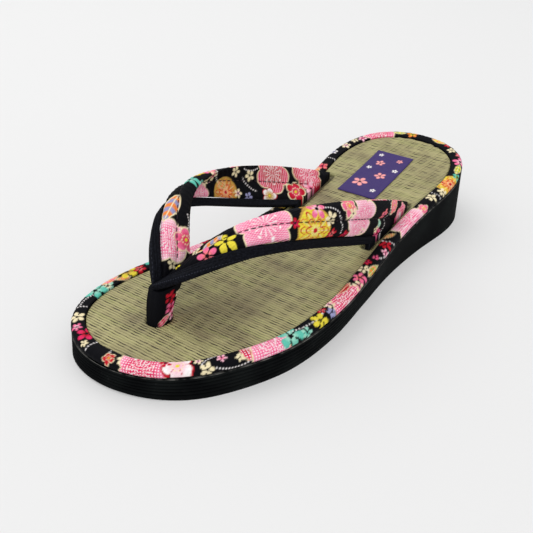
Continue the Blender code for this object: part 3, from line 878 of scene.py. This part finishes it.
def strap_loop(place, above, below, start, end, thickness):
    """Closed loop across the strap at every station: out along the top side and back underneath, each
    point half a thickness off the crowned middle surface. Both tails drop into the mat and close."""
    outer, inner, normal, run = (part[:, None, :] for part in strap_edges)
    places = np.concatenate([place, place[::-1]])
    lift = np.concatenate([above, -below[::-1]])
    v = start[:, None] + (end - start)[:, None] * places
    crown = CROWN * np.sin(math.pi * strap_reach)[:, None] ** 2 * 4 * v * (1 - v)
    pinch = (1 - TAIL_PINCH * strap_reach ** 4)[:, None]
    rise = crown + lift * thickness / 2 * pinch
    points = outer + (inner - outer) * v[..., None] + normal * rise[..., None]
    slant = np.sum((inner - outer) * run, axis=-1)
    travel = np.linalg.norm(np.diff((outer + inner)[:, 0] / 2, axis=0), axis=1)
    travel = np.concatenate([[0], np.cumsum(travel)])[:, None]
    steps = np.linalg.norm(np.roll(points, -1, 1) - points, axis=-1)
    cloth_map = np.stack([travel + slant * (v - 0.5), np.cumsum(steps, 1) - steps], -1) * 1000
    closing = cloth_map[:, :1] + np.stack([0 * steps[:, :1], steps.sum(1, keepdims=True)], -1) * 1000
    cloth_map = np.concatenate([cloth_map, closing], 1)
    tails = []
    for end_row in (points[0], points[-1]):
        foot = end_row.copy()
        foot[:, 2] = wall_top(foot[:, 1]) + GAP
        tails.append([foot, (foot + foot[::-1]) / 2])
    points = np.vstack([tails[0][1][None], tails[0][0][None], points, tails[1][0][None], tails[1][1][None]])
    cloth_map = np.concatenate([cloth_map[:1], cloth_map[:1], cloth_map, cloth_map[-1:], cloth_map[-1:]])
    return points, cloth_map


def strap_surface():
    """Two padded lobes with a sewn channel between them. The channel bites and lets go between stitches,
    the legs sink into each other at the apex, and creases fan out where each leg enters its slot."""
    place = (1 - np.cos(np.linspace(0, math.pi, STRAP_ACROSS))) / 2
    above, below = through(PAD_ROWS, 1, place), through(PAD_ROWS, 2, place)
    width = np.linalg.norm(np.cross(strap_edges[1] - strap_edges[0], strap_edges[3]), axis=-1)
    start = strap_band + BAND_ROOM / np.maximum(width, 0.006)
    points, cloth_map = strap_loop(place, above, below, start, np.ones(len(start)), STRAP_THICKNESS)
    places = np.concatenate([place, place[::-1]])
    top = np.concatenate([np.ones(len(place)), -np.ones(len(place))])
    t, travel = strap_reach[:, None], cloth_map[2:-2, :-1, 0]
    channel = np.exp(-((places - 0.5) / 0.045) ** 2)
    bite = STITCH_BITE * channel * (0.75 + 0.25 * np.cos(travel * 2 * math.pi / STITCH_STEP))
    sag = APEX_SAG * np.exp(-(t / 0.035) ** 2) * (top > 0) * smooth(places * 4)
    folds = FOLD_DEPTH * smooth((t - FOLD_START) / 0.2) * np.sin(places * 21 + t * 34)
    folds = folds * smooth(4 * places) * smooth(4 - 4 * places)
    ease = EASE * np.sin(travel * 1.9 + places * 9) * (1 - channel)
    shift = -top * bite - sag + folds * top + ease * top
    points[2:-2] += strap_edges[2][:, None, :] * shift[..., None]
    return points, cloth_map, place


strap_points, strap_map, strap_place = strap_surface()
strap_print = Print(strap_points)


def strap_spot(side, face, t, v):
    """Grid place of a point on the strap, for its leg, its top or under face, and its two shares."""
    station = 2 + LEG_STATIONS - side * int(round(t * LEG_STATIONS))
    band = float(strap_band[station - 2])
    column = int(np.argmin(np.abs(strap_place - (v - band) / (1 - band))))
    return station, column if face > 0 else 2 * STRAP_ACROSS - 1 - column


# Motifs on the outer leg's top. Columns: motif, place along the leg, share of the strap's width from
# its outer edge, radius in mm, turn, outer ink, inner ink
OUTER_LEG_MOTIFS = (
    ("petals", 0.06, 0.40, 1.8, 0, YELLOW, YELLOW),
    ("petals", 0.09, 0.72, 2.4, 30, CREAM, CREAM),
    ("leaf", 0.16, 0.62, 7.0, -20, ORANGE, LAVENDER),
    ("petals", 0.20, 0.30, 4.6, 20, PINK, CORAL),
    ("petals", 0.245, 0.47, 5.0, 10, YELLOW, YELLOW),
    ("petals", 0.375, 0.31, 2.6, 0, CREAM, CREAM),
    ("scallop", 0.345, 0.66, 12.5, 20, SHELL, PINK),
    ("ball", 0.56, 0.46, 9.5, 0, YELLOW, YELLOW),
    ("petals", 0.48, 0.92, 4.6, 25, PINK, PALE),
    ("cord", 0.545, 0.87, 4.6, 20, WHITE, WHITE),
    ("petals", 0.575, 0.70, 3.4, 0, CREAM, CREAM),
    ("blossom", 0.61, 0.94, 5.2, 0, PINK, CORAL),
    ("petals", 0.75, 0.30, 2.8, 0, RED, ROSE),
    ("scallop", 0.75, 0.62, 11.0, 0, PALE, PINK),
    ("cord", 0.89, 0.70, 10.0, 80, WHITE, WHITE),
    ("leaf", 0.905, 0.50, 3.4, 60, MINT, TURQUOISE),
    ("blossom", 0.88, 0.92, 5.0, 0, CORAL, PINK),
    ("petals", 0.97, 0.26, 3.0, 0, PINK, ROSE),
    ("scallop", 0.99, 0.75, 5.5, 0, PINK, ROSE),
    ("petals", 0.455, 0.62, 2.4, 10, RED, ROSE),
    ("cord", 0.655, 0.55, 5.0, 60, WHITE, WHITE),
    ("petals", 0.665, 0.36, 3.0, 10, RED, CORAL),
    ("petals", 0.655, 0.78, 2.6, 40, CREAM, CREAM),
    ("petals", 0.84, 0.34, 2.4, 0, CREAM, PALE),
    ("petals", 0.865, 0.72, 3.2, 20, CORAL, PINK),
    ("petals", 0.93, 0.36, 2.0, 10, CREAM, CREAM),
)
# Motifs on the inner leg's top, from the apex to the bend
INNER_LEG_MOTIFS = (
    ("petals", 0.03, 0.50, 2.6, 0, CREAM, CREAM),
    ("scallop", 0.13, 0.42, 10.5, 0, PALE, PINK),
    ("blossom", 0.085, 0.84, 6.0, 0, PINK, ROSE),
    ("cord", 0.145, 0.90, 3.6, 0, WHITE, WHITE),
    ("leaf", 0.27, 0.45, 9.5, 20, ORANGE, LAVENDER),
    ("petals", 0.38, 0.80, 4.2, 0, TURQUOISE, MINT),
)
# Motifs on the face that lies on the foot
FOOT_FACE_MOTIFS = (
    ("petals", 0.40, 0.85, 4.0, 0, TURQUOISE, MINT),
    ("petals", 0.50, 0.87, 3.4, 10, CREAM, PINK),
    ("cord", 0.55, 0.80, 5.5, 60, WHITE, WHITE),
    ("scallop", 0.59, 0.27, 6.0, 0, SHELL, PINK),
    ("petals", 0.63, 0.84, 2.8, 0, CREAM, CREAM),
    ("petals", 0.72, 0.74, 3.0, 30, CREAM, CREAM),
    ("cord", 0.685, 0.92, 5.0, 0, WHITE, WHITE),
    ("ball", 0.70, 0.31, 7.5, 0, GOLD, ORANGE),
    ("petals", 0.81, 0.22, 2.4, 0, LAVENDER, LAVENDER),
    ("scallop", 0.80, 0.80, 11.0, 10, ROSE, RED),
    ("cord", 0.855, 0.42, 4.0, 70, WHITE, WHITE),
    ("blossom", 0.88, 0.26, 4.6, 0, WHITE, GOLD),
    ("scallop", 0.93, 0.84, 10.0, 40, RED, ROSE),
    ("blossom", 0.955, 0.36, 6.2, 0, RED, ROSE),
    ("petals", 0.995, 0.46, 4.6, 0, PALE, PINK),
    ("petals", 0.46, 0.40, 3.0, 20, RED, ROSE),
    ("petals", 0.53, 0.62, 2.2, 10, CREAM, CREAM),
    ("cord", 0.76, 0.52, 5.5, 40, WHITE, WHITE),
    ("petals", 0.755, 0.30, 2.4, 0, CREAM, PALE),
    ("leaf", 0.645, 0.50, 4.2, 30, ORANGE, GOLD),
)
hidden_top = tuple(row for row in OUTER_LEG_MOTIFS if row[1] > 0.45)

# The leg (1 the outer side, -1 the inner), its face (1 the top, -1 the foot's side), and its motifs
printed_faces = (
    (1, 1, OUTER_LEG_MOTIFS), (-1, 1, INNER_LEG_MOTIFS + hidden_top),
    (-1, -1, FOOT_FACE_MOTIFS), (1, -1, FOOT_FACE_MOTIFS),
)
for side, face, motifs in printed_faces:
    for kind, t, v, radius, turn, outer, inner in motifs:
        strap_print.stamp(kind, strap_spot(side, face, t, v), radius, turn, outer, inner)
strap = make_piece("strap_cloth", strap_points, strap_map, strap_print.colour)
dress(strap, crepe, "strap_upper")

# Stitches: dark cotton thread sewn along the middle of both legs, through the padding, so that a row of
# short stitches shows on each face. They begin and end a little way in from the ends of a leg.
THREAD_RADIUS = 0.00022
THREAD_RISE = 0.0001
STITCH_LENGTH = 0.0024
STITCH_REACH = (0.035, 0.975)
SEAM_SAMPLES = 4000
SEAM_MARGIN = 0.002
BEAD_LEVELS = 7
BEAD_SIDES = 6
THREAD_DARK = (0.010, 0.008, 0.012)
THREAD_LIGHT = (0.05, 0.03, 0.04)


def stitch_row(side, face):
    """Small closed beads along the channel: each one a tube round a short line, narrowing to its ends."""
    t = np.linspace(*STITCH_REACH, SEAM_SAMPLES)
    rows = np.array([strap_spot(side, face, value, 0.5) for value in t])
    column = STRAP_ACROSS // 2 if face > 0 else 2 * STRAP_ACROSS - 1 - STRAP_ACROSS // 2
    line = strap_points[rows[:, 0], column]
    line, first = np.unique(line, axis=0, return_index=True)
    line = line[np.argsort(first)]
    length = np.concatenate([[0], np.cumsum(np.linalg.norm(np.diff(line, axis=0), axis=1))])
    at = np.arange(SEAM_MARGIN, length[-1] - SEAM_MARGIN, STITCH_STEP / 1000)
    spots = np.stack([np.interp(at, length, line[:, k]) for k in range(3)], -1)
    ahead = np.stack([np.interp(at + 0.001, length, line[:, k]) for k in range(3)], -1)
    run = unit(ahead - spots)
    middle_t = np.interp(at, length, np.linspace(t[0], t[-1], len(length)))
    normal = leg_frame(side, middle_t)[2] * face
    across = unit(np.cross(normal, run))
    normal = np.cross(run, across)
    along = np.linspace(-1, 1, BEAD_LEVELS)[None, :, None, None]
    about = np.linspace(0, 2 * math.pi, BEAD_SIDES, endpoint=False)[None, None, :, None]
    width = THREAD_RADIUS * np.sqrt(1 - along ** 4)
    spots, run, normal, across = (part[:, None, None, :] for part in (spots, run, normal, across))
    tube = (normal * np.cos(about) + across * np.sin(about)) * width
    return spots + run * along * STITCH_LENGTH / 2 + tube + normal * THREAD_RISE


def make_thread(name, beads):
    """One mesh of many closed beads that share a grid of places along and round."""
    index = np.arange(math.prod(beads.shape[:3])).reshape(beads.shape[:3])
    index = np.concatenate([index, index[:, :, :1]], 2)
    corners = (index[:, :-1, :-1], index[:, 1:, :-1], index[:, 1:, 1:], index[:, :-1, 1:])
    mesh = bpy.data.meshes.new(name)
    mesh.from_pydata(beads.reshape(-1, 3).tolist(), [], np.stack(corners, 3).reshape(-1, 4).tolist())
    return finish_mesh(name, mesh, turn_outwards=True)


stitch_rows = [stitch_row(side, face) for side in (1, -1) for face in (1, -1)]
stitches = make_thread("strap_stitches", np.concatenate(stitch_rows))
thread, shader, wire, place = new_material("dark_thread", 0.7)
feed(shader, Base_Color=wire.noise(place, 900.0).blend(THREAD_DARK, THREAD_LIGHT))
stitches.data.materials.append(thread)
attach(stitches, "root")

# Edge band: black ribbed cotton tape sewn along the outer edge of both legs. The two ends meet over the
# toe post. Three ribs run its whole length.
BAND_BLACK = (0.0026, 0.0029, 0.0046)
BAND_FLUFF = (0.0085, 0.0095, 0.0140)
BAND_THREAD = (0.030, 0.032, 0.044)
BAND_ACROSS = 34

# Band section from the outer edge to the cloth: share of its width, half thickness above, below
BAND_ROWS = (
    (0.00, 0.45, 0.45), (0.10, 0.88, 0.80), (0.24, 1.05, 0.90), (0.36, 0.88, 0.90), (0.48, 1.05, 0.90),
    (0.60, 0.88, 0.90), (0.72, 1.05, 0.90), (0.86, 0.92, 0.90), (1.00, 0.60, 0.60),
)
band_place = (1 - np.cos(np.linspace(0, math.pi, BAND_ACROSS))) / 2
band_points, band_map = strap_loop(
    band_place, through(BAND_ROWS, 1, band_place), through(BAND_ROWS, 2, band_place),
    np.zeros(len(strap_band)), strap_band, BAND_THICKNESS,
)
band = make_piece("edge_band_tape", band_points, band_map)
tape, shader, wire, place = new_material("black_ribbed_tape", 0.78, gloss=0.05)
cloth = wire.make("ShaderNodeUVMap", "UV", {"uv_map": "cloth"}, {})
parts = wire.make("ShaderNodeSeparateXYZ", "X", {}, {"Vector": cloth})
ridges = wire.sum("SINE", parts * 20.0)
fluff = wire.noise(place, 1300.0, 3.0)
rim = parts.other("Y")
seam = rim.between(0.45, 0.60) - rim.between(0.80, 0.95)
sewn = wire.sum("SINE", parts * 3.6).between(-0.2, 0.3) * seam
woven = fluff.between(0.35, 0.75).blend(BAND_BLACK, BAND_FLUFF)
feed(shader, Base_Color=(sewn * 0.8).blend(woven, BAND_THREAD),
     Roughness=fluff * 0.2 + 0.66, Normal=wire.bump(ridges * 0.1 + fluff, 0.3, 0.00015))
dress(band, tape, "edge_band")

# Toe post: the printed cloth folded round a cord, with the black tape running down its front. It stands
# in a hole in the mat and is deeper where it spreads under the strap.
POST_WIDTH = 0.0086
POST_SQUARENESS = 0.6
POST_LEVELS = 60
POST_ROUND = 96
POST_UNDER = 0.0012
POST_FOLD = 0.0001
POST_RIB = 0.00022

# Post rows: share of its height, depth share at the front, depth share at the rear, width share
POST_ROWS = (
    (0.00, 0.00, 1.00, 0.92), (0.35, 0.02, 1.08, 0.96), (0.70, 0.10, 1.38, 1.02), (1.00, 0.23, 1.74, 1.00),
)
post_side = np.array([post_run[1], -post_run[0]])


def post_surface():
    """Squared loops stacked from the mat to the underside of the strap. The front has three ribs of tape,
    and the sides have the faint upright folds of cloth gathered round a cord."""
    height = np.linspace(0, 1, POST_LEVELS)[:, None]
    front, rear, width = (through(POST_ROWS, k, height) for k in (1, 2, 3))
    angle = np.linspace(0, 2 * math.pi, POST_ROUND, endpoint=False)[None, :]
    round_x = np.sign(np.sin(angle)) * np.abs(np.sin(angle)) ** POST_SQUARENESS
    round_y = -np.sign(np.cos(angle)) * np.abs(np.cos(angle)) ** POST_SQUARENESS
    back = ((front + rear) / 2 + round_y * (rear - front) / 2) * POST_DEPTH
    half = width * POST_WIDTH / 2
    at_front = smooth((-round_y - 0.55) / 0.3)
    folds = POST_FOLD * np.sin(11 * angle + 2.5 * height) * (1 - at_front)
    back = back + at_front * POST_RIB * (1 - np.cos(round_x * 3 * math.pi)) / 2
    off = round_x * (half - POST_FOLD + folds)
    start = post_front - post_run * POST_SETBACK * POST_DEPTH
    x = start[0] + back * post_run[0] + off * post_side[0]
    y = start[1] + back * post_run[1] + off * post_side[1]
    front_top, rear_top = LEGS[1][0][0][2], LEGS[1][1][0][2]
    slope = (rear_top - front_top) / np.linalg.norm(post_rear - post_front)
    high = front_top + slope * (back - POST_SETBACK * POST_DEPTH) - POST_UNDER
    low = wall_top(y) + GAP
    points = np.stack([x, y, low + (high - low) * height], -1)
    mirrored = -np.arange(POST_ROUND) % POST_ROUND
    first, last = ((row + row[mirrored]) / 2 for row in (points[0], points[-1]))
    return np.vstack([first[None], points, last[None]]), at_front


post_points, post_tape = post_surface()
post_print = Print(post_points)
# Motifs on the post. Columns: motif, level from the mat, place round it from the front, radius, turn, inks
for kind, level, turned, radius, turn, outer, inner in (
    ("petals", 46, 24, 3.0, 0, RED, RED), ("petals", 44, 34, 1.8, 0, CREAM, CREAM),
    ("petals", 28, 27, 3.2, 20, PINK, ROSE), ("leaf", 14, 22, 4.6, 60, ROSE, PINK),
    ("petals", 16, 33, 2.8, 0, PALE, PINK), ("petals", 44, 72, 3.0, 0, PINK, ROSE),
    ("petals", 22, 70, 3.2, 0, RED, RED), ("leaf", 30, 62, 4.0, 60, PINK, PALE),
):
    post_print.stamp(kind, (level, turned), radius, turn, outer, inner)
plain = np.zeros(post_points.shape[:2])
plain[1:-1] = post_tape
post_print.ink(plain, BAND_BLACK)
post_length = np.linalg.norm(post_points - np.roll(post_points, 1, 1), axis=-1)[1].sum() * 1000
post_up = np.linspace(0, 18, len(post_points))[:, None]
post_about = np.linspace(0, post_length, POST_ROUND + 1)[None, :]
post_map = np.stack(np.broadcast_arrays(post_up, post_about), -1)
post = make_piece("toe_post_cloth", post_points, post_map, post_print.colour)
dress(post, crepe, "toe_post")

# Patch: a rectangle of plain navy cloth sewn on the heel of the mat, with pale blossoms printed on it.
# It lies flat on the slope of the heel.
LABEL_WIDTH = 0.0215
LABEL_LENGTH = 0.0460
LABEL_THICKNESS = 0.0006
LABEL_TURN = math.radians(1.7)
LABEL_PLACE = (0.093 * HALF_BALL, 0.589 * HALF_LENGTH)
NAVY = (0.048, 0.030, 0.135)
NAVY_LINT = (0.16, 0.13, 0.26)
BLUSH = (0.86, 0.34, 0.33)
LABEL_ROWS = 130
LABEL_COLUMNS = 64


def label_surface():
    """A flat rectangle laid on the slope of the mat: out over its top and back underneath it."""
    along = np.linspace(-0.5, 0.5, LABEL_ROWS)[:, None]
    across = np.linspace(-0.5, 0.5, LABEL_COLUMNS)
    across = np.concatenate([across, across[::-1]])[None, :]
    top = np.concatenate([np.ones(LABEL_COLUMNS), np.zeros(LABEL_COLUMNS)])[None, :]
    x, y = across * LABEL_WIDTH + 0 * along, along * LABEL_LENGTH + 0 * across
    cosine, sine = math.cos(LABEL_TURN), math.sin(LABEL_TURN)
    plan_x = LABEL_PLACE[0] + cosine * x - sine * y
    plan_y = LABEL_PLACE[1] + sine * x + cosine * y
    worn = 0.00005 * np.sin(x * 900) * np.sin(y * 700)
    edge = smooth(np.minimum(0.5 - np.abs(across), (0.5 - np.abs(along)) * 2) / 0.03)
    z = mat_top(plan_y) + GAP + top * (LABEL_THICKNESS * (0.55 + 0.45 * edge) + worn * edge)
    points = np.stack([plan_x, plan_y, z], -1)
    first, last = points[0].copy(), points[-1].copy()
    for end in (first, last):
        end[:, 2] = (end[:, 2] + end[::-1, 2]) / 2
    cloth_map = np.stack([np.hstack([x, x[:, :1]]), np.hstack([y, y[:, :1]])], -1) * 1000
    cloth_map = np.concatenate([cloth_map[:1], cloth_map, cloth_map[-1:]])
    return np.vstack([first[None], points, last[None]]), cloth_map


label_points, label_map = label_surface()
label_print = Print(label_points, NAVY)
# Motifs on the patch. Columns: motif, row and column of its grid, radius in mm, turn, outer ink, inner ink
for kind, row, column, radius, turn, outer, inner in (
    ("petals", 34, 20, 4.2, 10, BLUSH, BLUSH), ("petals", 62, 40, 3.2, 40, BLUSH, BLUSH),
    ("petals", 96, 22, 2.6, 0, BLUSH, BLUSH), ("petals", 112, 48, 1.8, 20, BLUSH, BLUSH),
    ("petals", 20, 50, 1.6, 0, WHITE, WHITE), ("petals", 78, 12, 1.5, 30, WHITE, WHITE),
    ("petals", 84, 54, 1.6, 0, WHITE, WHITE), ("petals", 118, 12, 1.4, 0, WHITE, WHITE),
):
    label_print.stamp(kind, (row, column), radius, turn, outer, inner)
label = make_piece("heel_patch", label_points, label_map, label_print.colour)
plainweave, shader, wire, place = new_material("navy_plainweave", 0.62)
paint = wire.make("ShaderNodeAttribute", "Color", {"attribute_name": "paint"}, {})
cloth = wire.make("ShaderNodeUVMap", "UV", {"uv_map": "cloth"}, {})
parts = wire.make("ShaderNodeSeparateXYZ", "X", {}, {"Vector": cloth})
weave = wire.sum("SINE", parts * 14.0) * wire.sum("SINE", parts.other("Y") * 14.0)
lint = wire.noise(place, 1100.0, 2.0)
feed(shader, Base_Color=(lint.between(0.5, 0.8) * 0.10).blend(paint, NAVY_LINT),
     Roughness=lint * 0.2 + 0.52, Normal=wire.bump(weave * 0.5 + lint, 0.35, 0.00015))
dress(label, plainweave, "label_patch")

# Room: a plain floor of pale matt paper under an even white sky. The floor glows very slightly and lies a
# hair below the tread.
FLOOR_HALF = 4.0
FLOOR_LEVEL = -0.00005
FLOOR_GREY = 0.45
FLOOR_GLOW = 0.31
floor_mesh = bpy.data.meshes.new("floor")
corner_signs = ((-1, -1), (1, -1), (1, 1), (-1, 1))
floor_corners = [(x * FLOOR_HALF, y * FLOOR_HALF, FLOOR_LEVEL) for x, y in corner_signs]
floor_mesh.from_pydata(floor_corners, [], [(0, 1, 2, 3)])
floor = bpy.data.objects.new("floor", floor_mesh)
bpy.context.scene.collection.objects.link(floor)
paper, shader, wire, place = new_material("pale_paper", 0.9)
shader.inputs["Base Color"].default_value = (FLOOR_GREY, FLOOR_GREY, FLOOR_GREY, 1)
shader.inputs["Emission Color"].default_value = (1, 1, 1, 1)
shader.inputs["Emission Strength"].default_value = FLOOR_GLOW
floor_mesh.materials.append(paper)

world = bpy.data.worlds.new("studio")
world.use_nodes = True
world.node_tree.nodes["Background"].inputs["Color"].default_value = (1.0, 1.0, 1.0, 1)
world.node_tree.nodes["Background"].inputs["Strength"].default_value = 1.0
bpy.context.scene.world = world
bpy.context.scene.view_settings.view_transform = "Standard"

# Camera: set so that the sole's outline, the straws and the patch lie where the photograph has them. The
# target and distance are in metres, and the lens and its shift are shares of the picture's width.
TARGET = np.array([0.000889, -0.027276, 0.015])
DISTANCE = 0.376724
TURN, TILT, ROLL = (math.radians(angle) for angle in (35.35, 31.654, 0.902))
FOCAL_SHARE = 807.364 / 533
OFF_CENTRE = (1.617 / 533, 0.927 / 533)
backwards = np.array([math.sin(TURN) * math.cos(TILT), -math.cos(TURN) * math.cos(TILT), math.sin(TILT)])
level = np.array([math.cos(TURN), math.sin(TURN), 0.0])
upright = np.cross(backwards, level)
rightwards = level * math.cos(ROLL) + upright * math.sin(ROLL)
upwards = upright * math.cos(ROLL) - level * math.sin(ROLL)


def aim(thing, place, axes):
    """Puts a lamp or the camera somewhere, with its right, up and backward directions."""
    matrix = Matrix.Identity(4)
    for k, axis in enumerate((*axes, place)):
        for row in range(3):
            matrix[row][k] = float(axis[row])
    thing.matrix_world = matrix


lens = bpy.data.cameras.new("camera")
lens.sensor_width = 36.0
lens.lens = FOCAL_SHARE * lens.sensor_width
lens.shift_x, lens.shift_y = OFF_CENTRE
lens.clip_start, lens.clip_end = 0.01, 20.0
camera = bpy.data.objects.new("camera", lens)
bpy.context.scene.collection.objects.link(camera)
aim(camera, TARGET + backwards * DISTANCE, (rightwards, upwards, backwards))
bpy.context.scene.camera = camera

# Lamps: a large soft one from the left and above, and a weaker one in front. Columns: name, place, size in
# metres, watts
LAMPS = (
    ("key_lamp", (-0.55, 0.10, 0.95), 1.0, 3.4),
    ("front_lamp", (0.45, -0.95, 0.70), 1.2, 2.6),
)
for name, spot, size, watts in LAMPS:
    lamp = bpy.data.lights.new(name, "AREA")
    lamp.size, lamp.energy = size, watts
    held = bpy.data.objects.new(name, lamp)
    bpy.context.scene.collection.objects.link(held)
    facing = unit(np.array(spot) - TARGET)
    sideways = unit(np.cross((0.0, 0.0, 1.0), facing))
    aim(held, spot, (sideways, np.cross(facing, sideways), facing))
